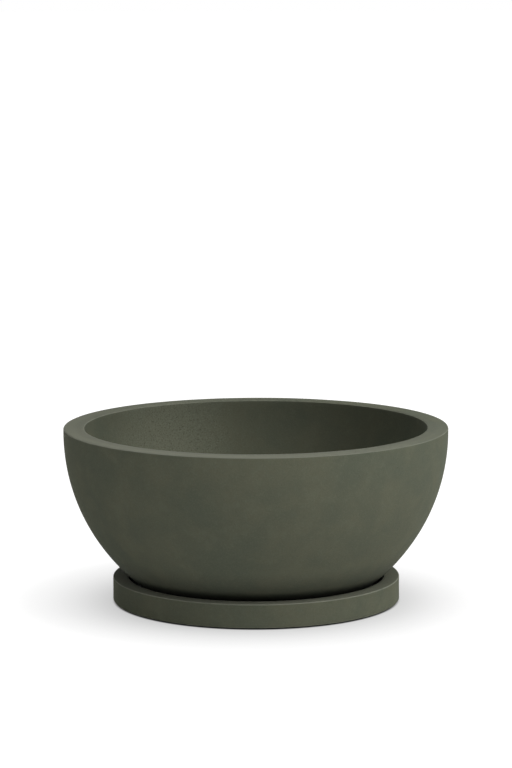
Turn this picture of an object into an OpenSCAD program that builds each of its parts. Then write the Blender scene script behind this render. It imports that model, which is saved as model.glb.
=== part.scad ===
// Low round bowl planter, cast in fibre cement, standing in its own saucer.
// Millimetres, +Z up. The origin is on the ground, under the centre of the saucer.

/* [Bowl] */
// Diameter over the rim
rim_d = 400; // [330:1:480]
// Height of the casting, from its foot to the top of its rim
bowl_h = 170; // [140:1:205]
// Diameter at which the curved wall reaches the level of the foot
foot_d = 227; // [185:1:273]
// Thickness of the wall, which is the width of the rim
wall_t = 22; // [14:0.5:27]
// Thickness of the floor, measured from the level of the foot
floor_t = 20; // [16:0.5:25]
// Height of the plumb band between the rim and the curve
rim_band = 5.5; // [4:0.5:10]
// Round on the outer edge of the rim
rim_outer_round = 1.5; // [0.5:0.25:4]
// Round on the inner edge of the rim
rim_inner_round = 1.25; // [0.5:0.25:4]
// Round between the outside of the wall and the foot
foot_round = 4; // [2:0.5:6]
// Round between the inside of the wall and the floor
floor_round = 18; // [8:1:24]

/* [Foot of the bowl] */
// Width of the ring that carries the bowl
foot_ring_w = 26; // [21:1:32]
// Depth of the recess inside the ring
foot_recess = 3; // [1:0.5:5]
// Width of the sloping edge of that recess, and of the one under the saucer
recess_slope = 3; // [1:0.5:5]
// Diameter of the drain hole
drain_d = 25; // [20:0.5:30]
// Chamfer on the lower edge of the drain hole
drain_chamfer = 1.5; // [0.5:0.5:2.5]

/* [Drain plug] */
// Radial room between the plug's ribs and the drain hole
plug_fit = 0.1; // [0.05:0.05:0.3]
// Length of the stem below the flange
stem_l = 13; // [12:0.5:16]
// Chamfer on the lower end of the stem
stem_chamfer = 1.5; // [0.5:0.25:2]
// Height of each sealing rib over the stem
rib_h = 0.9; // [0.5:0.1:1.5]
// Width of each sealing rib
rib_w = 2; // [1.2:0.1:2.5]
// Distance from one sealing rib to the next
rib_pitch = 4; // [3:0.5:4.5]
// How far the flange reaches past the edge of the drain hole
flange_lip = 5; // [3:0.5:8]
// Thickness of the flange, which lies flush in its seat in the bowl's floor
flange_t = 3; // [2:0.25:4]
// Radial room round the flange in its seat
seat_room = 1; // [0.5:0.25:2]
// Width of the pull tab
tab_w = 18; // [14:0.5:22]
// Height of the pull tab over the flange
tab_h = 15; // [13:0.5:18]
// Thickness of the pull tab
tab_t = 4.5; // [3:0.25:6]
// Diameter of the finger hole in the tab
tab_hole_d = 8; // [5:0.5:9]

/* [Saucer] */
// Height of the saucer casting
saucer_h = 24.5; // [20:0.5:30]
// Gap between the bowl and the inner edge of the saucer, at the top of the saucer
saucer_gap = 3.2; // [2:0.1:8]
// Thickness of the saucer's wall
saucer_wall_t = 16; // [10:0.5:18]
// Thickness of the saucer's floor
saucer_floor_t = 9; // [7:0.5:11]
// Round on the two top edges of the wall
saucer_edge_round = 1; // [0.5:0.25:2.5]
// Round on the bottom edge
saucer_foot_round = 1.25; // [0.5:0.25:4]
// Round between the inside of the wall and the floor
saucer_floor_round = 6; // [3:0.5:8]
// Width of the ring under the saucer that holds the pads
saucer_ring_w = 31.5; // [26:0.5:36]
// Depth of the recess inside that ring
saucer_recess = 2; // [1:0.25:3]

/* [Pads] */
// Diameter of a pad under the saucer
saucer_pad_d = 20; // [16:0.5:22]
// How far a pad stands out under the saucer
saucer_pad_proud = 1.5; // [1:0.25:3]
// Diameter of a pad under the bowl
bowl_pad_d = 16; // [12:0.5:18]
// How far a pad stands out under the bowl
bowl_pad_proud = 2.5; // [1.5:0.25:5]
// Depth of the seat that a pad is glued into
pad_seat = 1; // [0.5:0.25:1.5]
// Radial room round a pad in its seat
pad_room = 0.25; // [0.1:0.05:0.5]
// Chamfer on the free edge of a pad
pad_chamfer = 0.5; // [0.25:0.25:0.75]

/* [Hidden] */
PADS = 4;
PLUG_RIBS = 2;
$fn = 96;
// Extra reach of a cutting shape past the surface that it cuts
past = 1;
// How far the round at the foot of an arc laps over its neighbours, so that they cross cleanly
lap = 0.002;

// Heights over the ground
saucer_z = saucer_pad_proud;
saucer_top_z = saucer_z + saucer_h;
saucer_floor_z = saucer_z + saucer_floor_t;
bowl_z = saucer_floor_z + bowl_pad_proud;
bowl_top_z = bowl_z + bowl_h;
bowl_floor_z = bowl_z + floor_t;
plug_z = bowl_floor_z - flange_t;

// A length to the nearest micron, so that outlines which share an edge share it exactly
function to_micron(length) = round(length * 1000) / 1000;

// The wall's arc leaves the plumb band at the rim and passes through the edge of the foot
rim_r = rim_d / 2;
arc_h = bowl_h - rim_band;
arc_in = rim_r - foot_d / 2;
arc_r = to_micron((arc_h * arc_h + arc_in * arc_in) / (2 * arc_in));
arc_centre = [rim_r - arc_r, bowl_z + arc_h];

// Radius of the outside of the bowl at a height over the ground
function bowl_r_at(z) = arc_centre.x + sqrt(arc_r * arc_r - pow(arc_centre.y - z, 2));

// Centre of the round, of radius q, that joins an arc of radius r to the level z
function round_centre(r, q, z) =
    [arc_centre.x + sqrt(pow(r - q, 2) - pow(arc_centre.y - z - q, 2)), z + q];

foot_flat_r = round_centre(arc_r, foot_round, bowl_z).x;
foot_ring_in_r = foot_flat_r - foot_ring_w;
bowl_pad_pitch_r = foot_flat_r - foot_ring_w / 2;

saucer_in_r = to_micron(bowl_r_at(saucer_top_z)) + saucer_gap;
saucer_r = saucer_in_r + saucer_wall_t;
saucer_flat_r = saucer_r - saucer_foot_round;
saucer_ring_in_r = saucer_flat_r - saucer_ring_w;
saucer_pad_pitch_r = saucer_flat_r - saucer_ring_w / 2;

drain_r = drain_d / 2;
flange_r = drain_r + flange_lip;
seat_r = flange_r + seat_room;

cement = [0.40, 0.41, 0.35];
rubber = [0.15, 0.15, 0.15];
silicone = [0.63, 0.63, 0.61];

// Section of a round dish, from its flat bottom at low to its plumb wall, which rises from
// the arc's centre to high. An arc of radius r and the round q at its foot are cut from it.
module dish_section(r, q, low, high) {
    f = round_centre(r, q, low);
    outside = f + (f - arc_centre) * (q + past) / (r - q);
    top_r = arc_centre.x + r;
    difference() {
        translate([0, low]) square([top_r, high - low]);
        difference() {
            translate([f.x, low - past])
                square([top_r - f.x + past, arc_centre.y - low + past]);
            translate(arc_centre) circle(r = r);
        }
        difference() {
            polygon([f, [f.x, low - past], [outside.x, low - past], outside]);
            translate(f) circle(r = q + lap);
        }
    }
}

// Section of a straight-sided well of radius r, with the round q at its floor
module well_section(r, q, low, high) {
    difference() {
        translate([0, low]) square([r, high - low]);
        corner_cut([r, low], q, [1, -1]);
    }
}

// What a round of radius q takes off a square corner that points along side = [x, y]
module corner_cut(corner, q, side) {
    translate(corner - q * side) scale([side.x, side.y]) difference() {
        square(q + past);
        circle(r = q);
    }
}

// Section of the recess, with a sloping edge, inside a foot ring of inner radius r
module recess_section(r, low, depth) {
    polygon([
        [0, low - past], [r, low - past], [r, low], [r - recess_slope, low + depth],
        [0, low + depth]
    ]);
}

// Places its children round the axis, turned by a share of the spacing between two pads
module at_pad(i, pitch_r, share) {
    rotate((i - 1 + share) * 360 / PADS) translate([pitch_r, 0, 0]) children();
}

// A glued disc, its free face down at z = 0 and its glued face up
module pad(d, t) {
    rotate_extrude() polygon([
        [0, 0], [d / 2 - pad_chamfer, 0], [d / 2, pad_chamfer], [d / 2, t], [0, t]
    ]);
}

module bowl_section() {
    inner_r = rim_r - wall_t;
    difference() {
        dish_section(arc_r, foot_round, bowl_z, bowl_top_z);
        dish_section(arc_r - wall_t, floor_round, bowl_floor_z, bowl_top_z + past);
        corner_cut([rim_r, bowl_top_z], rim_outer_round, [1, 1]);
        corner_cut([inner_r, bowl_top_z], rim_inner_round, [-1, 1]);
        translate([0, bowl_z - past]) square([drain_r, floor_t + 2 * past]);
        translate([0, plug_z]) square([seat_r, flange_t + past]);
        recess_section(foot_ring_in_r, bowl_z, foot_recess);
        translate([0, bowl_z + foot_recess - past]) polygon([
            [0, 0], [drain_r + drain_chamfer + past, 0], [drain_r, drain_chamfer + past],
            [0, drain_chamfer + past]
        ]);
    }
}

module bowl() {
    color(cement) difference() {
        rotate_extrude() bowl_section();
        for (i = [1 : PADS])
            at_pad(i, bowl_pad_pitch_r, 0)
                translate([0, 0, bowl_z - past])
                    cylinder(d = bowl_pad_d + 2 * pad_room, h = pad_seat + past);
    }
}

module bowl_pad(i) {
    color(silicone)
        at_pad(i, bowl_pad_pitch_r, 0)
            translate([0, 0, bowl_z - bowl_pad_proud])
                pad(bowl_pad_d, bowl_pad_proud + pad_seat);
}

module saucer_section() {
    difference() {
        translate([0, saucer_z]) square([saucer_r, saucer_h]);
        well_section(saucer_in_r, saucer_floor_round, saucer_floor_z, saucer_top_z + past);
        corner_cut([saucer_r, saucer_top_z], saucer_edge_round, [1, 1]);
        corner_cut([saucer_in_r, saucer_top_z], saucer_edge_round, [-1, 1]);
        corner_cut([saucer_r, saucer_z], saucer_foot_round, [1, -1]);
        recess_section(saucer_ring_in_r, saucer_z, saucer_recess);
    }
}

module saucer() {
    color(cement) difference() {
        rotate_extrude() saucer_section();
        for (i = [1 : PADS])
            at_pad(i, saucer_pad_pitch_r, 0.5)
                translate([0, 0, saucer_z - past])
                    cylinder(d = saucer_pad_d + 2 * pad_room, h = pad_seat + past);
    }
}

module saucer_pad(i) {
    color(rubber)
        at_pad(i, saucer_pad_pitch_r, 0.5)
            pad(saucer_pad_d, saucer_pad_proud + pad_seat);
}

// Stem with two sealing ribs under a flange, as one section from the axis outwards
module plug_section() {
    rib_r = drain_r - plug_fit;
    stem_r = rib_r - rib_h;
    edge = flange_t / 2;
    polygon([
        [0, -stem_l], [stem_r - stem_chamfer, -stem_l], [stem_r, stem_chamfer - stem_l],
        [stem_r, edge], [0, edge]
    ]);
    for (k = [1 : PLUG_RIBS])
        translate([0, -k * rib_pitch]) polygon([
            [0, -rib_w], [stem_r, -rib_w], [rib_r, -rib_w / 2],
            [rib_r, 0], [stem_r, rib_w / 2], [0, rib_w / 2]
        ]);
    square([flange_r - edge, flange_t]);
    translate([flange_r - edge, edge]) circle(r = edge);
}

// Pull tab, rooted in the flange, with its top half round and a finger hole
module plug_tab() {
    root_z = flange_t / 2;
    crown_z = flange_t + tab_h - tab_w / 2;
    translate([0, tab_t / 2, 0]) rotate([90, 0, 0]) linear_extrude(tab_t) difference() {
        union() {
            translate([-tab_w / 2, root_z]) square([tab_w, crown_z - root_z]);
            translate([0, crown_z]) circle(d = tab_w);
        }
        translate([0, crown_z]) circle(d = tab_hole_d);
    }
}

module drain_plug() {
    color(rubber) translate([0, 0, plug_z]) {
        rotate_extrude() plug_section();
        plug_tab();
    }
}

saucer();
bowl();
drain_plug();
for (i = [1 : PADS]) {
    saucer_pad(i);
    bowl_pad(i);
}
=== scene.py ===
import math
import random

import bmesh
import bpy
from mathutils import Matrix, Vector, kdtree, noise


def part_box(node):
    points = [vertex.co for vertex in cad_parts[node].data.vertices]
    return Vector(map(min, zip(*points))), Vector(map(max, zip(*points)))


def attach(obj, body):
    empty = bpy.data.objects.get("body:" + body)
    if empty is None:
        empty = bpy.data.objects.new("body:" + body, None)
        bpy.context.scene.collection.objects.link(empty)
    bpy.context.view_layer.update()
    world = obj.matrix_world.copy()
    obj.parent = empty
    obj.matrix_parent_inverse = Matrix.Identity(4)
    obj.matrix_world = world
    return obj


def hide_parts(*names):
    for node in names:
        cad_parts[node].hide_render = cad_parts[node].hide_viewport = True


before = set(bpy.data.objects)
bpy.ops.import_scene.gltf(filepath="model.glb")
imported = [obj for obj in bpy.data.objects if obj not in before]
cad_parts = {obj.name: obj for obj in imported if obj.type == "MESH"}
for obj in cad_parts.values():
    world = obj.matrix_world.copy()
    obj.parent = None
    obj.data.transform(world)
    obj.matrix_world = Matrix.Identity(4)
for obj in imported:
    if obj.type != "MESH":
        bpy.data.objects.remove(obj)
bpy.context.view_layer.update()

# The viewpoint
# A long lens 3.1 m in front of the planter, which looks down on the rim by 8 degrees and so
# sees it as a flat ellipse. It is rolled by a hair.
LENS_MM = 141.15
CAMERA_PLACE = (0.0003, -3.0926, 0.6727)
CAMERA_PITCH = 0.1432
CAMERA_ROLL = -0.0023
SENSOR_MM = 36.0

camera_data = bpy.data.cameras.new("camera")
camera_data.lens = LENS_MM
camera_data.sensor_width = SENSOR_MM
camera = bpy.data.objects.new("camera", camera_data)
camera.location = CAMERA_PLACE
camera.rotation_mode = "ZXY"
camera.rotation_euler = (math.pi / 2 - CAMERA_PITCH, 0, CAMERA_ROLL)
bpy.context.scene.collection.objects.link(camera)
bpy.context.scene.camera = camera


# Saucer
# The lower casting: a shallow dish of fibre cement, pressed in a mould and coloured right
# through. Its edges are knocked round, and four seats under it take its pads.
SAUCER_COLUMNS = 256
HALVINGS = 4
ROW_SPACING = 0.003
CORNER_STEPS = 5
SHARP_ANGLE = math.radians(38)
TINY = 1e-6
SAME_LEVEL = 1e-5

SAUCER_WALL = 0.016
SAUCER_FLOOR = 0.009
SAUCER_EDGE_ROUND = 0.001
SAUCER_FOOT_ROUND = 0.00125
SAUCER_FLOOR_ROUND = 0.006
SAUCER_RING = 0.0315
SAUCER_RECESS = 0.002
RECESS_SLOPE = 0.003
RECESS_ROUND = 0.0006
SAUCER_SEAT_R = 0.01025
SEAT_DEPTH = 0.001
SEAT_MARGIN = 0.0022
SEAT_STEPS = 64
PADS = 4

WAVES = ((0.65, 17), (0.35, 41))
SAUCER_WAVE = 0.0002
SAUCER_STILL_FOOT = 0.003
SAUCER_WAVE_RISE = 0.006
HOLE_RADII = (0.0002, 0.0006)
HOLE_DEPTH = 0.0004
HOLE_LIP = HOLE_RADII[0] / 3
HOLE_MIDDLE = HOLE_RADII[0] / 5
HOLE_STEPS = 2
SAUCER_HOLES = 40
SAUCER_SEED = 3
SAUCER_SHIFT = 0.11
# Painted shade under the bowl: in the saucer's well, and less on its wall's top.
WELL_PAINTED_SHADE = 0.8
WALL_TOP_PAINTED_SHADE = 0.2


class Section:
    """The outline of a turned piece, drawn in the XZ plane from one point to the next."""

    def __init__(self, across, height, rounded=0):
        self.bm = bmesh.new()
        self.tip = self.start = self.bm.verts.new((across, 0, height))
        self.corners = [(self.tip, rounded)]

    def line(self, across, height, rounded=0):
        point = self.bm.verts.new((across, 0, height))
        self.bm.edges.new((self.tip, point))
        self.corners.append((point, rounded))
        self.tip = point

    def arc(self, across, height, turn, steps=None):
        """Swings the last point about a centre, by an angle that goes down on the outside."""
        centre = Vector((across, 0, height))
        steps = steps or max(3, round(abs(turn) * (self.tip.co - centre).length / ROW_SPACING))
        swung = bmesh.ops.spin(
            self.bm, geom=[self.tip], cent=centre, axis=(0, 1, 0), angle=turn, steps=steps
        )
        self.tip = swung["geom_last"][0]

    def close(self):
        self.bm.edges.new((self.tip, self.start))

    def turned(self, columns):
        """Rounds the corners, divides the long stretches, and turns the outline about the axis.
        A slice of the circle is spun, and then doubled until it closes."""
        for corner, radius in self.corners:
            if radius:
                bmesh.ops.bevel(
                    self.bm, geom=[corner], offset=radius, affect="VERTICES",
                    segments=CORNER_STEPS, profile=0.5, material=-1,
                )
        for edge in self.bm.edges[:]:
            cuts = round(edge.calc_length() / ROW_SPACING) - 1
            if cuts > 0:
                bmesh.ops.subdivide_edges(self.bm, edges=[edge], cuts=cuts)
        angle = math.tau / 2**HALVINGS
        bmesh.ops.spin(
            self.bm, geom=self.bm.verts[:] + self.bm.edges[:], cent=(0, 0, 0), axis=(0, 0, 1),
            angle=angle, steps=columns // 2**HALVINGS,
        )
        for _ in range(HALVINGS):
            everything = self.bm.verts[:] + self.bm.edges[:] + self.bm.faces[:]
            copied = bmesh.ops.duplicate(self.bm, geom=everything)["geom"]
            bmesh.ops.rotate(
                self.bm, verts=[part for part in copied if isinstance(part, bmesh.types.BMVert)],
                cent=(0, 0, 0), matrix=Matrix.Rotation(angle, 3, "Z"),
            )
            angle *= 2
        bmesh.ops.remove_doubles(self.bm, verts=self.bm.verts, dist=TINY)
        bmesh.ops.recalc_face_normals(self.bm, faces=self.bm.faces)
        return self.bm


def sink_seat(bm, place, radius, depth):
    """Sinks a round seat into a level face that looks down."""
    reach = radius + SEAT_MARGIN
    cut = [
        face for face in bm.faces
        if abs(face.calc_center_median().z - place.z) < SAME_LEVEL
        and (face.calc_center_median() - place).length < reach
    ]
    rim = {edge for face in cut for edge in face.edges}
    bmesh.ops.delete(bm, geom=cut, context="FACES")
    rim = [edge for edge in rim if edge.is_valid and edge.is_boundary]
    ring = bmesh.ops.create_circle(
        bm, cap_ends=False, segments=SEAT_STEPS, radius=radius, matrix=Matrix.Translation(place)
    )["verts"]
    mouth = list({edge for vert in ring for edge in vert.link_edges})
    bmesh.ops.bridge_loops(bm, edges=rim + mouth)
    sunk = bmesh.ops.extrude_edge_only(bm, edges=mouth)["geom"]
    sunk_verts = [part for part in sunk if isinstance(part, bmesh.types.BMVert)]
    bmesh.ops.translate(bm, verts=sunk_verts, vec=(0, 0, depth))
    ceiling = [
        part for part in sunk
        if isinstance(part, bmesh.types.BMEdge) and part.is_boundary
    ]
    bmesh.ops.holes_fill(bm, edges=ceiling, sides=0)


def pad_place(index, pitch, height, share):
    """The middle of a pad, turned by a share of the spacing between two pads."""
    turn = (index + share) * math.tau / PADS
    return Vector((pitch * math.cos(turn), pitch * math.sin(turn), height))


def cast_waves(bm, depth, free_at):
    """Lowers the skin by up to depth, in soft waves, as far as free_at says that it is free."""
    bm.normal_update()
    moves = []
    for vert in bm.verts:
        free = free_at(math.hypot(vert.co.x, vert.co.y), vert.co.z)
        if free > 0:
            wave = sum(share * noise.noise(vert.co * pitch) for share, pitch in WAVES)
            moves.append((vert, vert.normal * (-depth * free * (0.5 + 0.5 * wave))))
    for vert, move in moves:
        vert.co += move


def air_holes(bm, count, seed, free_at):
    """Opens pinholes where bubbles lay against the mould: a crisp mouth over a round pocket."""
    rng = random.Random(seed)
    bm.normal_update()
    skin = [vert for vert in bm.verts if free_at(math.hypot(vert.co.x, vert.co.y), vert.co.z)]
    chosen = rng.sample(skin, count)
    holes = kdtree.KDTree(count)
    for index, vert in enumerate(chosen):
        holes.insert(vert.co, index)
    holes.balance()
    radii = [rng.uniform(*HOLE_RADII) for _ in chosen]
    mouths = bmesh.ops.bevel(
        bm, geom=chosen, offset=HOLE_RADII[0], affect="VERTICES",
        segments=HOLE_STEPS, profile=0.5, material=-1,
    )
    for point in mouths["verts"]:
        centre, index, distance = holes.find(point.co)
        if distance > HOLE_MIDDLE:
            point.co = centre + (point.co - centre) * (radii[index] / distance)
    bmesh.ops.inset_region(
        bm, faces=mouths["faces"], thickness=HOLE_LIP, depth=-HOLE_DEPTH,
        use_boundary=True, use_even_offset=True,
    )


def piece(name, bm, body, slot, material, *nodes):
    """Makes a mesh the visible piece that rides on a body and stands for these nodes."""
    mesh = bpy.data.meshes.new(name)
    bm.to_mesh(mesh)
    bm.free()
    mesh.shade_smooth()
    mesh.set_sharp_from_angle(angle=SHARP_ANGLE)
    mesh.materials.append(material)
    made = bpy.data.objects.new(name, mesh)
    bpy.context.scene.collection.objects.link(made)
    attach(made, body)
    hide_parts(*nodes)


class Wire:
    """An output of a shader node. Sums and products of wires and numbers add Math nodes."""

    def __init__(self, tree, socket=None):
        self.tree = tree
        self.socket = socket

    def add(self, kind, settings=None, sockets=None, output=None):
        """Adds a node, sets it, gives its sockets their values or wires, and returns the output
        of that name, or else the first."""
        node = self.tree.nodes.new(kind)
        for name, value in (settings or {}).items():
            setattr(node, name, value)
        for name, value in (sockets or {}).items():
            named = [s for s in node.inputs if s.enabled and s.name == name]
            socket = node.inputs[name] if isinstance(name, int) else named[0]
            if isinstance(value, Wire):
                self.tree.links.new(value.socket, socket)
            else:
                socket.default_value = value
        shown = [s for s in node.outputs if s.enabled and output in (None, s.name)]
        return Wire(self.tree, shown[0]) if shown else None

    def math(self, operation, *values):
        return self.add("ShaderNodeMath", {"operation": operation}, dict(enumerate(values)))

    def most(self, other):
        """The larger of the two."""
        return self.math("MAXIMUM", self, other)

    def __add__(self, other):
        return self.math("ADD", self, other)

    def __sub__(self, other):
        return self.math("SUBTRACT", self, other)

    def __rsub__(self, other):
        return self.math("SUBTRACT", other, self)

    def __mul__(self, other):
        return self.math("MULTIPLY", self, other)

    def __pow__(self, other):
        return self.math("POWER", self, other)

    __radd__ = __add__
    __rmul__ = __mul__


def new_material(name):
    """A material with an empty tree, and a wire to start its nodes from."""
    material = bpy.data.materials.new(name)
    material.use_nodes = True
    material.node_tree.nodes.clear()
    return material, Wire(material.node_tree)


def ramp_up(value, low, high):
    """0 below low, 1 above high, and smooth between them."""
    return value.add(
        "ShaderNodeMapRange", {"interpolation_type": "SMOOTHSTEP"},
        {"Value": value, "From Min": low, "From Max": high},
    )


def mixed(factor, first, second):
    """A colour between two, each of them a wire, or its red, green and blue."""
    ends = [end if isinstance(end, Wire) else (*end, 1) for end in (first, second)]
    return factor.add(
        "ShaderNodeMix", {"data_type": "RGBA"}, {"Factor": factor, "A": ends[0], "B": ends[1]}
    )


CEMENT = (0.126, 0.138, 0.097)
CEMENT_WARM = (0.141, 0.146, 0.101)
CEMENT_COOL = (0.117, 0.130, 0.094)
CEMENT_SAND = (0.25, 0.26, 0.19)
CEMENT_GRIT = (0.055, 0.060, 0.044)
# Painted light on the top face of the rim.
CEMENT_PAINTED_LIGHT = (0.215, 0.222, 0.176)
# Painted highlight along the rounded edges.
CEMENT_PAINTED_HIGHLIGHT = (0.34, 0.345, 0.285)
# Painted shade, dark where shade falls.
CEMENT_PAINTED_SHADE = (0.020, 0.022, 0.017)
MOTTLED_SHARE = 0.45
DRIFTED_SHARE = 0.10
BARE_SHARE = 0.09
GRAIN_SHARE = 0.15
# Where the painted light on the rim's top starts, its share, and how it grows to the front and the
# left.
PAINTED_LIGHT_FROM = 0.0012
PAINTED_LIGHT_FULL = 0.0005
PAINTED_LIGHT_SHARE = 0.36
PAINTED_LIGHT_MORE_IN_FRONT = 1.9
PAINTED_LIGHT_MORE_AT_LEFT = 0.9
# The painted edge highlight's share, and how far it reaches from each edge.
PAINTED_HIGHLIGHT_SHARE = 0.6
PAINTED_HIGHLIGHT_REACH = (0.0004, 0.0012)
CEMENT_ROUGH = 0.82
SKIN_DEPTH = 0.00022


def noise_at(place, scale, detail=2.0, roughness=0.5, distortion=0.0):
    """Noise whose features are about 1 / scale metres."""
    return place.add(
        "ShaderNodeTexNoise", None,
        {"Vector": place, "Scale": scale, "Detail": detail, "Roughness": roughness,
         "Distortion": distortion},
    )


def cement(name, edges, rim_z, shift, painted_shade_at, sand_and_light_at=None):
    """Through-coloured fibre cement: soft clouds, sand in the skin, painted light on the rim's
    top and a painted highlight on the edges. Painted shade darkens it where one mask tells,
    and it is rough with sand where another does."""
    material, start = new_material(name)
    here = start.add("ShaderNodeTexCoord", output="Object")
    moved = start.add("ShaderNodeMapping", None, {"Vector": here, "Location": (shift, 0, 0)})
    # Clouds are about 110 mm wide, drifts 30 mm, mottle 8 mm, and sand and grain 1 to 2 mm.
    clouds = noise_at(moved, 9, 4, 0.55, 0.4)
    drifts = noise_at(moved, 34, 4, 0.6, 0.3)
    mottle = noise_at(moved, 120, 3, 0.6)
    sand = noise_at(moved, 600, 2, 0.8)
    grain = noise_at(moved, 900, 2, 0.7)

    spread = here.add("ShaderNodeSeparateXYZ", None, {"Vector": here})
    x, y, z = (Wire(here.tree, socket) for socket in spread.socket.node.outputs)
    across = (x * x + y * y) ** 0.5
    painted_shade = painted_shade_at(across, z)

    tint = ramp_up(clouds * 0.55 + drifts * 0.45, 0.38, 0.62)
    colour = mixed(tint, CEMENT_COOL, CEMENT_WARM)
    colour = mixed(ramp_up(mottle, 0.35, 0.7) * MOTTLED_SHARE, colour, CEMENT)
    drifted = ramp_up(drifts * 0.5 + mottle * 0.5, 0.5, 0.7) * DRIFTED_SHARE
    colour = mixed(drifted, colour, CEMENT_SAND)
    bare = BARE_SHARE
    if sand_and_light_at:
        sand_and_painted_light = sand_and_light_at(here, across, z, drifts)
        bare = BARE_SHARE + sand_and_painted_light
        colour = mixed(sand_and_painted_light, colour, CEMENT_SAND)
    for speck, low, high, share, tone in (
        (sand, 0.52, 0.66, bare, CEMENT_SAND),
        (1 - sand, 0.54, 0.68, bare, CEMENT_GRIT),
        (grain, 0.58, 0.74, GRAIN_SHARE, CEMENT_SAND),
        (1 - grain, 0.60, 0.76, GRAIN_SHARE, CEMENT_GRIT),
    ):
        colour = mixed(ramp_up(speck, low, high) * share, colour, tone)

    # Painted light: the top face is paler, more so towards the front and the left.
    painted_light_amount = PAINTED_LIGHT_SHARE - y * PAINTED_LIGHT_MORE_IN_FRONT - x * PAINTED_LIGHT_MORE_AT_LEFT
    painted_top_light = ramp_up(z, rim_z - PAINTED_LIGHT_FROM, rim_z - PAINTED_LIGHT_FULL) * painted_light_amount
    colour = mixed(painted_top_light, colour, CEMENT_PAINTED_LIGHT)
    # Painted shade, where the shade mask tells.
    colour = mixed(painted_shade, colour, CEMENT_PAINTED_SHADE)
    # Painted highlight, in patches, along each rounded edge that is given.
    for radius, height in edges:
        off = across - radius
        rise = z - height
        near = 1 - ramp_up((off * off + rise * rise) ** 0.5, *PAINTED_HIGHLIGHT_REACH)
        painted_highlight = near * ramp_up(drifts + mottle * 0.5, 0.35, 0.8) * PAINTED_HIGHLIGHT_SHARE
        colour = mixed(painted_highlight, colour, CEMENT_PAINTED_HIGHLIGHT)

    rough = CEMENT_ROUGH + clouds * 0.10 + grain * 0.08 - painted_shade * 0.3
    height = mottle * 0.4 + sand * 0.5 + grain * 0.5
    bump = height.add(
        "ShaderNodeBump", None, {"Strength": 0.6, "Distance": SKIN_DEPTH, "Height": height}
    )
    skin = bump.add(
        "ShaderNodeBsdfPrincipled", None,
        {"Base Color": colour, "Roughness": rough, "Normal": bump, "Diffuse Roughness": 0.2,
         "Specular IOR Level": 0.12},
    )
    skin.add("ShaderNodeOutputMaterial", None, {"Surface": skin})
    return material


saucer_low, saucer_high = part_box("saucer")
saucer_r = saucer_high.x
saucer_in_r = saucer_r - SAUCER_WALL
saucer_floor_z = saucer_low.z + SAUCER_FLOOR
saucer_ring_r = saucer_r - SAUCER_FOOT_ROUND - SAUCER_RING
saucer_pad_pitch = saucer_ring_r + SAUCER_RING / 2

saucer_section = Section(0, saucer_low.z + SAUCER_RECESS)
saucer_section.line(saucer_ring_r - RECESS_SLOPE, saucer_low.z + SAUCER_RECESS, RECESS_ROUND)
saucer_section.line(saucer_ring_r, saucer_low.z, RECESS_ROUND)
saucer_section.line(saucer_r, saucer_low.z, SAUCER_FOOT_ROUND)
saucer_section.line(saucer_r, saucer_high.z, SAUCER_EDGE_ROUND)
saucer_section.line(saucer_in_r, saucer_high.z, SAUCER_EDGE_ROUND)
saucer_section.line(saucer_in_r, saucer_floor_z, SAUCER_FLOOR_ROUND)
saucer_section.line(0, saucer_floor_z)
saucer_mesh = saucer_section.turned(SAUCER_COLUMNS)
for index in range(PADS):
    seat = pad_place(index, saucer_pad_pitch, saucer_low.z, 0.5)
    sink_seat(saucer_mesh, seat, SAUCER_SEAT_R, SEAT_DEPTH)


def saucer_free(across, height):
    """Only the wall, above its foot, is free to wave."""
    if across < saucer_in_r - SAUCER_EDGE_ROUND:
        return 0
    return min(1, max(0, (height - saucer_low.z - SAUCER_STILL_FOOT) / SAUCER_WAVE_RISE))


cast_waves(saucer_mesh, SAUCER_WAVE, saucer_free)
air_holes(
    saucer_mesh, SAUCER_HOLES, SAUCER_SEED,
    lambda across, height: saucer_free(across, height) > 0.5,
)
# The rounded edges of the saucer that get a painted highlight.
saucer_highlight_edges = (
    (saucer_r, saucer_high.z), (saucer_in_r, saucer_high.z), (saucer_r, saucer_low.z),
)


def saucer_painted_shade(across, z):
    """Painted shade under the bowl: dark on the well's wall and floor, and less so on the wall's
    top.
    """
    well = 1 - ramp_up(across, saucer_in_r - 0.0002, saucer_in_r + 0.0012)
    top = 1 - ramp_up(across, saucer_r - 0.0022, saucer_r - 0.0010)
    above = ramp_up(z, saucer_floor_z - 0.002, saucer_floor_z - 0.001)
    return (well * WELL_PAINTED_SHADE).most(top * WALL_TOP_PAINTED_SHADE) * above


piece(
    "saucer_casting", saucer_mesh, "saucer", "saucer_cement",
    cement("saucer_cement", saucer_highlight_edges, saucer_high.z, SAUCER_SHIFT, saucer_painted_shade),
    "saucer",
)


# Saucer pads
# Four discs of black rubber, moulded with a groove that grips, and glued into the seats under
# the saucer. They keep cement off the floor, and leave a gap under it. The dark line that shows
# there is partly that gap's shade and partly painted shadow on the floor.
PAD_ROUND = 0.0005
PAD_STEPS = 96
SOFT_STEPS = 4
GROOVE_W = 0.0007
GROOVE_SIDE = 0.0004
GROOVE_DEPTH = 0.0003
SAUCER_PAD_LAND = 0.0028
BLACK = (0.018, 0.018, 0.018)
BLACK_DUSTY = (0.075, 0.073, 0.068)
BLACK_ROUGH = 0.45
PEBBLE_DEPTH = 0.0001


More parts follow.
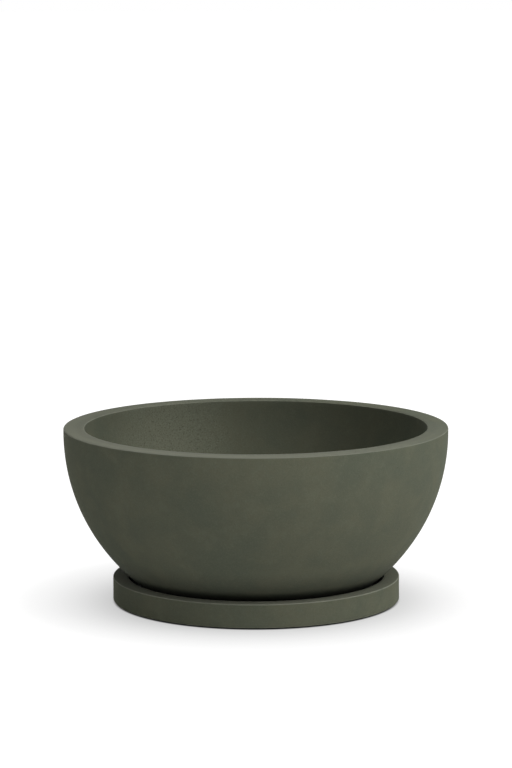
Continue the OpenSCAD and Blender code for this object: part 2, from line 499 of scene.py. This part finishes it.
def disc(node, land):
    """A round pad with its free face down: a rounded edge, a flat land, and a groove that grips."""
    low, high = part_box(node)
    middle = (low + high) / 2
    bm = bmesh.new()
    bmesh.ops.create_circle(
        bm, cap_ends=True, segments=PAD_STEPS, radius=(high.x - low.x) / 2,
        matrix=Matrix.Translation((middle.x, middle.y, low.z)),
    )
    top = bmesh.ops.extrude_face_region(bm, geom=bm.faces[:])["geom"]
    top_verts = [part for part in top if isinstance(part, bmesh.types.BMVert)]
    bmesh.ops.translate(bm, verts=top_verts, vec=(0, 0, high.z - low.z))
    bmesh.ops.recalc_face_normals(bm, faces=bm.faces)
    foot = [edge for edge in bm.edges if all(vert.co.z < low.z + TINY for vert in edge.verts)]
    bmesh.ops.bevel(
        bm, geom=foot, offset=PAD_ROUND, affect="EDGES",
        segments=SOFT_STEPS, profile=0.5, material=-1,
    )
    sole = [
        face for face in bm.faces
        if face.normal.z < -0.99 and face.calc_center_median().z < low.z + TINY
    ]
    for width, depth in (
        (land, 0), (GROOVE_SIDE, -GROOVE_DEPTH), (GROOVE_W, 0), (GROOVE_SIDE, GROOVE_DEPTH),
    ):
        bmesh.ops.inset_region(bm, faces=sole, thickness=width, depth=depth, use_boundary=True)
    return bm


def rubber(name, colour, dust, roughness):
    """Moulded rubber: a faint pebble, and pale dust held by the hollows."""
    material, start = new_material(name)
    here = start.add("ShaderNodeTexCoord", output="Object")
    pebble = noise_at(here, 900, 2, 0.6)
    smear = noise_at(here, 60, 4, 0.6, 0.5)
    coat = ramp_up(smear, 0.45, 0.75) * ramp_up(pebble, 0.35, 0.65) * 0.5
    bump = pebble.add(
        "ShaderNodeBump", None, {"Strength": 0.35, "Distance": PEBBLE_DEPTH, "Height": pebble}
    )
    skin = bump.add(
        "ShaderNodeBsdfPrincipled", None,
        {"Base Color": mixed(coat, colour, dust), "Roughness": roughness + smear * 0.25,
         "Normal": bump},
    )
    skin.add("ShaderNodeOutputMaterial", None, {"Surface": skin})
    return material


black_rubber = rubber("black_rubber", BLACK, BLACK_DUSTY, BLACK_ROUGH)
for index in range(1, PADS + 1):
    node = f"saucer_pad_{index}"
    piece(
        f"saucer_bumper_{index}", disc(node, SAUCER_PAD_LAND), "saucer", "saucer_pad_rubber",
        black_rubber, node,
    )


# Bowl
# The upper casting: a thick wall of the same fibre cement, one arc from the foot to a short
# plumb band, with a flat rim. Its foot ring, drain hole and plug seat come from the mould.
BOWL_COLUMNS = 304
BOWL_WALL = 0.022
BOWL_FLOOR = 0.020
FOOT_EDGE_R = 0.1135
RIM_BAND = 0.0055
RIM_OUTER_ROUND = 0.0015
RIM_INNER_ROUND = 0.00125
FOOT_ROUND = 0.004
FLOOR_ROUND = 0.018
FOOT_RING = 0.026
FOOT_RECESS = 0.003
DRAIN_R = 0.0125
DRAIN_CHAMFER = 0.0015
FLANGE_SEAT_R = 0.0185
FLANGE_T = 0.003
BOWL_SEAT_R = 0.00825

BOWL_WAVE = 0.0003
BOWL_STILL_FLOOR = 0.004
BOWL_WAVE_RISE = 0.02
BOWL_HOLES = 150
BOWL_SEED = 11
# Painted shade round the wall's foot by the saucer, in a low and a high band, and faint painted
# shade inside the bowl.
FOOT_PAINTED_SHADE_LOW = (0.028, 0.037)
FOOT_PAINTED_SHADE_HIGH = (0.036, 0.062)
FOOT_PAINTED_SHADE_LOW_SHARE = 0.6
INSIDE_PAINTED_SHADE = 0.12
# A paler patch of sand inside the bowl, which is partly painted light where the lamps fall on that
# wall.
SAND_LIGHT_PLACE = (-0.095, 0.140, 0.135)
SAND_LIGHT_REACH = (0.045, 0.135)
SAND_LIGHT_RAGGED = 0.06
SAND_AND_LIGHT_SHARE = 0.5

bowl_low, bowl_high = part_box("bowl")
rim_r = bowl_high.x
arc_z = bowl_high.z - RIM_BAND
arc_h = arc_z - bowl_low.z
arc_in = rim_r - FOOT_EDGE_R
arc_r = (arc_h**2 + arc_in**2) / (2 * arc_in)
arc_x = rim_r - arc_r
bowl_floor_z = bowl_low.z + BOWL_FLOOR
plug_seat_z = bowl_floor_z - FLANGE_T


def round_under(radius, rounded, height):
    """The centre across of the round between an arc and a level, and the arc's angle there."""
    drop = arc_z - height - rounded
    reach = math.sqrt((radius - rounded) ** 2 - drop**2)
    return arc_x + reach, math.atan2(drop, reach)


foot_x, foot_turn = round_under(arc_r, FOOT_ROUND, bowl_low.z)
floor_x, floor_turn = round_under(arc_r - BOWL_WALL, FLOOR_ROUND, bowl_floor_z)
foot_ring_r = foot_x - FOOT_RING
quarter = math.pi / 2

bowl_section = Section(rim_r, bowl_high.z, RIM_OUTER_ROUND)
bowl_section.line(rim_r, arc_z)
bowl_section.arc(arc_x, arc_z, foot_turn)
bowl_section.arc(foot_x, bowl_low.z + FOOT_ROUND, quarter - foot_turn)
bowl_section.line(foot_ring_r, bowl_low.z, RECESS_ROUND)
bowl_section.line(foot_ring_r - RECESS_SLOPE, bowl_low.z + FOOT_RECESS, RECESS_ROUND)
bowl_section.line(DRAIN_R + DRAIN_CHAMFER, bowl_low.z + FOOT_RECESS)
bowl_section.line(DRAIN_R, bowl_low.z + FOOT_RECESS + DRAIN_CHAMFER)
bowl_section.line(DRAIN_R, plug_seat_z)
bowl_section.line(FLANGE_SEAT_R, plug_seat_z)
bowl_section.line(FLANGE_SEAT_R, bowl_floor_z, RECESS_ROUND)
bowl_section.line(floor_x, bowl_floor_z)
bowl_section.arc(floor_x, bowl_floor_z + FLOOR_ROUND, floor_turn - quarter)
bowl_section.arc(arc_x, arc_z, -floor_turn)
bowl_section.line(rim_r - BOWL_WALL, bowl_high.z, RIM_INNER_ROUND)
bowl_section.close()
bowl_mesh = bowl_section.turned(BOWL_COLUMNS)
for index in range(PADS):
    seat = pad_place(index, foot_x - FOOT_RING / 2, bowl_low.z, 0)
    sink_seat(bowl_mesh, seat, BOWL_SEAT_R, SEAT_DEPTH)


def bowl_free(across, height):
    """The wall and the rim are free to wave, and the foot and the floor stay true."""
    return min(1, max(0, (height - bowl_floor_z - BOWL_STILL_FLOOR) / BOWL_WAVE_RISE))


cast_waves(bowl_mesh, BOWL_WAVE, bowl_free)
air_holes(
    bowl_mesh, BOWL_HOLES, BOWL_SEED, lambda across, height: bowl_free(across, height) > 0.2
)
# The rounded edges of the bowl that get a painted highlight.
bowl_highlight_edges = (
    (rim_r, bowl_high.z), (rim_r - BOWL_WALL, bowl_high.z), (foot_x, bowl_low.z),
    (foot_ring_r, bowl_low.z), (FLANGE_SEAT_R, bowl_floor_z),
)


def bowl_inside(across, z):
    """1 on the wall's inner curve and on the floor. It changes within the wall's thickness."""
    drop = z.math("MINIMUM", z, arc_z) - arc_z
    reach = across - arc_x
    deep = (reach * reach + drop * drop) ** 0.5
    curve = 1 - ramp_up(deep, arc_r - 0.7 * BOWL_WALL, arc_r - 0.4 * BOWL_WALL)
    return curve * ramp_up(z, bowl_floor_z - 0.006, bowl_floor_z - 0.004)


def bowl_painted_shade(across, z):
    """Painted shade: dark round the foot by the saucer, fading out up the wall. Faint painted
    shade inside.
    """
    low = (1 - ramp_up(z, *FOOT_PAINTED_SHADE_LOW)) * FOOT_PAINTED_SHADE_LOW_SHARE
    high = (1 - ramp_up(z, *FOOT_PAINTED_SHADE_HIGH)) * (1 - FOOT_PAINTED_SHADE_LOW_SHARE)
    wall = ramp_up(across, foot_x - 0.001, foot_x + 0.003)
    inside = bowl_inside(across, z)
    return (low + high) * wall * (1 - inside) + inside * INSIDE_PAINTED_SHADE


def bowl_sand_and_painted_light(place, across, z, drifts):
    """The sand shows in one paler patch inside, where the skin of slurry is thin. The patch is
    also painted light on that wall.
    """
    off = place.add("ShaderNodeVectorMath", {"operation": "DISTANCE"}, {0: place, 1: SAND_LIGHT_PLACE})
    patch = 1 - ramp_up(off + drifts * SAND_LIGHT_RAGGED, *SAND_LIGHT_REACH)
    return bowl_inside(across, z) * patch * SAND_AND_LIGHT_SHARE


piece(
    "bowl_casting", bowl_mesh, "bowl", "bowl_cement",
    cement("bowl_cement", bowl_highlight_edges, bowl_high.z, 0.0, bowl_painted_shade, bowl_sand_and_painted_light), "bowl",
)


# Bowl pads
# Four discs of grey silicone rubber, glued into seats in the foot ring. They lift the drain
# hole over the water in the saucer.
BOWL_PAD_LAND = 0.0022
GREY = (0.36, 0.36, 0.335)
GREY_DUSTY = (0.46, 0.455, 0.43)
GREY_ROUGH = 0.38

grey_silicone = rubber("grey_silicone", GREY, GREY_DUSTY, GREY_ROUGH)
for index in range(1, PADS + 1):
    node = f"bowl_pad_{index}"
    piece(
        f"bowl_spacer_{index}", disc(node, BOWL_PAD_LAND), "bowl", "bowl_pad_silicone",
        grey_silicone, node,
    )


# Drain plug
# One moulding of black rubber: a stem with two sealing ribs under a flange, and a pull tab
# with a finger hole over it. It lies flush in its seat in the bowl's floor.
PLUG_COLUMNS = 128
PLUG_STEM_L = 0.013
PLUG_STEM_R = 0.0115
PLUG_STEM_CHAMFER = 0.0015
PLUG_RIB_R = 0.0124
PLUG_RIB_W = 0.002
PLUG_RIB_PITCH = 0.004
PLUG_RIBS = 2
TAB_W = 0.018
TAB_T = 0.0045
TAB_HOLE_R = 0.004
TAB_STEPS = 96
FLANGE_ARC_STEPS = 12
MOULD_ROUND = 0.0003
TAB_EDGE_ROUND = 0.0009
ROOT_FLARE = 0.0016
ROOT_CUTS = (1, 0.8, 0.6, 0.42, 0.27, 0.15, 0.07, 0.02, -0.02)
UNION_MERGE = 5e-6
PLUG_BLACK = (0.02, 0.02, 0.02)
PLUG_DUSTY = (0.085, 0.082, 0.075)
PLUG_ROUGH = 0.42

plug_low, plug_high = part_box("drain_plug")
flange_r = plug_high.x
flange_z = plug_low.z + PLUG_STEM_L
crown_z = plug_high.z - TAB_W / 2

plug_section = Section(0, plug_low.z)
plug_section.line(PLUG_STEM_R - PLUG_STEM_CHAMFER, plug_low.z, MOULD_ROUND)
plug_section.line(PLUG_STEM_R, plug_low.z + PLUG_STEM_CHAMFER, MOULD_ROUND)
for rib in range(PLUG_RIBS, 0, -1):
    rib_z = flange_z - rib * PLUG_RIB_PITCH
    plug_section.line(PLUG_STEM_R, rib_z - PLUG_RIB_W)
    plug_section.line(PLUG_RIB_R, rib_z - PLUG_RIB_W / 2, MOULD_ROUND)
    plug_section.line(PLUG_RIB_R, rib_z, MOULD_ROUND)
    plug_section.line(PLUG_STEM_R, rib_z + PLUG_RIB_W / 2)
plug_section.line(PLUG_STEM_R, flange_z, MOULD_ROUND)
plug_section.line(flange_r - FLANGE_T / 2, flange_z)
plug_section.arc(flange_r - FLANGE_T / 2, flange_z + FLANGE_T / 2, -math.pi, FLANGE_ARC_STEPS)
plug_section.line(0, flange_z + FLANGE_T)
plug_mesh = plug_section.turned(PLUG_COLUMNS)


def pull_tab():
    """The tab: a flat loop of rubber whose root spreads out where it leaves the flange. The lower
    half of its outer circle is squared off, and goes down into the flange."""
    top_z = flange_z + FLANGE_T
    deep = crown_z - top_z + FLANGE_T / 2
    bm = bmesh.new()
    upright = Matrix.Translation((0, -TAB_T / 2, crown_z)) @ Matrix.Rotation(quarter, 4, "X")
    for radius in (TAB_W / 2, TAB_HOLE_R):
        bmesh.ops.create_circle(
            bm, cap_ends=False, segments=TAB_STEPS, radius=radius, matrix=upright
        )
    for vert in bm.verts:
        below = crown_z - vert.co.z
        if below > 0 and math.hypot(vert.co.x, below) > (TAB_W / 2 + TAB_HOLE_R) / 2:
            square = deep / below
            if abs(vert.co.x) * square > TAB_W / 2:
                square = TAB_W / 2 / abs(vert.co.x)
            vert.co.x *= square
            vert.co.z = crown_z - below * square
    bmesh.ops.bridge_loops(bm, edges=bm.edges[:])
    far = bmesh.ops.extrude_face_region(bm, geom=bm.faces[:])["geom"]
    far_verts = [part for part in far if isinstance(part, bmesh.types.BMVert)]
    bmesh.ops.translate(bm, verts=far_verts, vec=(0, TAB_T, 0))
    bmesh.ops.recalc_face_normals(bm, faces=bm.faces)
    rims = [
        edge for edge in bm.edges
        if edge.calc_face_angle(0) > SHARP_ANGLE
        and abs(edge.verts[0].co.y - edge.verts[1].co.y) < TINY
    ]
    bmesh.ops.bevel(
        bm, geom=rims, offset=TAB_EDGE_ROUND, affect="EDGES",
        segments=SOFT_STEPS, profile=0.5, material=-1,
    )
    for share in ROOT_CUTS:
        parts = bm.verts[:] + bm.edges[:] + bm.faces[:]
        level = (0, 0, top_z + share * ROOT_FLARE)
        bmesh.ops.bisect_plane(bm, geom=parts, plane_co=level, plane_no=(0, 0, 1))
    core = Vector((TAB_W / 2 - TAB_EDGE_ROUND, TAB_T / 2 - TAB_EDGE_ROUND, 0))
    for vert in bm.verts:
        fall = max(0, 1 - (vert.co.z - top_z) / ROOT_FLARE)
        flare = ROOT_FLARE * (1 - math.sqrt(1 - min(1, fall) ** 2))
        out = Vector((
            math.copysign(max(0, abs(vert.co.x) - core.x), vert.co.x),
            math.copysign(max(0, abs(vert.co.y) - core.y), vert.co.y), 0,
        ))
        vert.co += out.normalized() * flare
    return bm


def joined(first, second):
    """One closed skin round two that overlap."""
    made = []
    for bm in (first, second):
        mesh = bpy.data.meshes.new("half")
        bm.to_mesh(mesh)
        bm.free()
        half = bpy.data.objects.new("half", mesh)
        bpy.context.scene.collection.objects.link(half)
        made.append(half)
    union = made[0].modifiers.new("union", "BOOLEAN")
    union.operation = "UNION"
    union.solver = "MANIFOLD"
    union.object = made[1]
    shape = made[0].evaluated_get(bpy.context.evaluated_depsgraph_get()).to_mesh()
    whole = bmesh.new()
    whole.from_mesh(shape)
    bmesh.ops.remove_doubles(whole, verts=whole.verts, dist=UNION_MERGE)
    for half in made:
        bpy.data.objects.remove(half)
    return whole


piece(
    "drain_stopper", joined(plug_mesh, pull_tab()), "drain_plug", "plug_rubber",
    rubber("plug_rubber", PLUG_BLACK, PLUG_DUSTY, PLUG_ROUGH), "drain_plug",
)


# Floor and light
# A white floor that runs on into a white room, and the five soft boxes of a studio. Where the
# floor is seen, most of its white is a glow of its own, weaker near the planter to paint a soft
# shadow round it. The rest takes the planter's shadow from the lamps.
FLOOR_SIDE = 60.0
PAPER = (0.86, 0.86, 0.86)
PAPER_SEEN = (0.18, 0.18, 0.18)
# The glow's levels and reaches. It is weakest near the planter, as painted shadow round it, and
# stops at the saucer's edge, as a painted dark line.
GLOW_START = 0.46
GLOW_NEAR = 0.34
GLOW_FAR = 0.22
START_REACH = (0.1465, 0.151)
NEAR_REACH = (0.112, 0.225)
FAR_REACH = (0.198, 0.306)
ROOM_LIGHT = 0.03
LIT_PLACE = Vector((0, 0, 0.1))


def plane(name, side):
    """A level square at the height of the ground."""
    bm = bmesh.new()
    bmesh.ops.create_grid(bm, x_segments=1, y_segments=1, size=side / 2)
    mesh = bpy.data.meshes.new(name)
    bm.to_mesh(mesh)
    bm.free()
    made = bpy.data.objects.new(name, mesh)
    bpy.context.scene.collection.objects.link(made)
    return made


def soft_box(name, azimuth, elevation, distance, side, power):
    """A square lamp aimed at the planter. Its bearing goes from the front round to the right."""
    lamp_data = bpy.data.lights.new(name, "AREA")
    lamp_data.shape = "SQUARE"
    lamp_data.size = side
    lamp_data.energy = power
    lamp = bpy.data.objects.new(name, lamp_data)
    turn, lift = math.radians(azimuth), math.radians(elevation)
    away = Vector((
        math.sin(turn) * math.cos(lift), -math.cos(turn) * math.cos(lift), math.sin(lift)
    ))
    lamp.location = LIT_PLACE + away * distance
    lamp.rotation_euler = away.to_track_quat("Z", "Y").to_euler()
    bpy.context.scene.collection.objects.link(lamp)


def seen_rays(start):
    """1 on the rays that show the room: from the camera, off polish, or through glass."""
    node = start.add("ShaderNodeLightPath").socket.node
    camera_ray, glossy, transmission = (
        Wire(start.tree, node.outputs[name])
        for name in ("Is Camera Ray", "Is Glossy Ray", "Is Transmission Ray")
    )
    return camera_ray.most(glossy).most(transmission)


floor = plane("floor", FLOOR_SIDE)
floor_material, start = new_material("floor")
seen = seen_rays(start)
paper = start.add(
    "ShaderNodeBsdfPrincipled", None,
    {"Base Color": mixed(seen, PAPER, PAPER_SEEN), "Roughness": 0.9},
)
spot = start.add("ShaderNodeTexCoord", output="Object")
away = spot.add("ShaderNodeVectorMath", {"operation": "LENGTH"}, {0: spot})
# Painted shadow: the glow starts at the saucer's edge, which paints a dark line there, and
# grows with the distance from the planter, which paints a soft shadow round it.
near = ramp_up(away, *NEAR_REACH)
far = ramp_up(away, *FAR_REACH)
started = ramp_up(away, *START_REACH)
glow_and_painted_shadow = (GLOW_START + GLOW_NEAR * near + GLOW_FAR * far) * started
bright = mixed(seen * glow_and_painted_shadow, (0, 0, 0), (1, 1, 1))
glow = start.add("ShaderNodeEmission", None, {"Color": bright, "Strength": 1.0})
both = start.add("ShaderNodeAddShader", None, {0: paper, 1: glow})
both.add("ShaderNodeOutputMaterial", None, {"Surface": both})
floor.data.materials.append(floor_material)

world = bpy.data.worlds.new("world")
bpy.context.scene.world = world
world.use_nodes = True
world.node_tree.nodes.clear()
sky = Wire(world.node_tree)
room = sky.add("ShaderNodeBackground", None, {"Color": (1, 1, 1, 1), "Strength": ROOM_LIGHT})
white = sky.add("ShaderNodeBackground", None, {"Color": (1, 1, 1, 1), "Strength": 1.0})
shown = sky.add("ShaderNodeMixShader", None, {0: seen_rays(sky), 1: room, 2: white})
shown.add("ShaderNodeOutputWorld", None, {"Surface": shown})

# Bearing and height in degrees, distance and side in metres, and power in watts.
soft_box("key", 60, 40, 2.4, 1.2, 24.5)
soft_box("side", 90, 45, 2.4, 1.2, 12.2)
soft_box("front", 0, 35, 1.4, 0.9, 3.0)
soft_box("fill", -60, 45, 2.4, 1.6, 4.6)
soft_box("back", 180, 62, 6.0, 4.0, 68)

bpy.context.scene.view_settings.view_transform = "Standard"
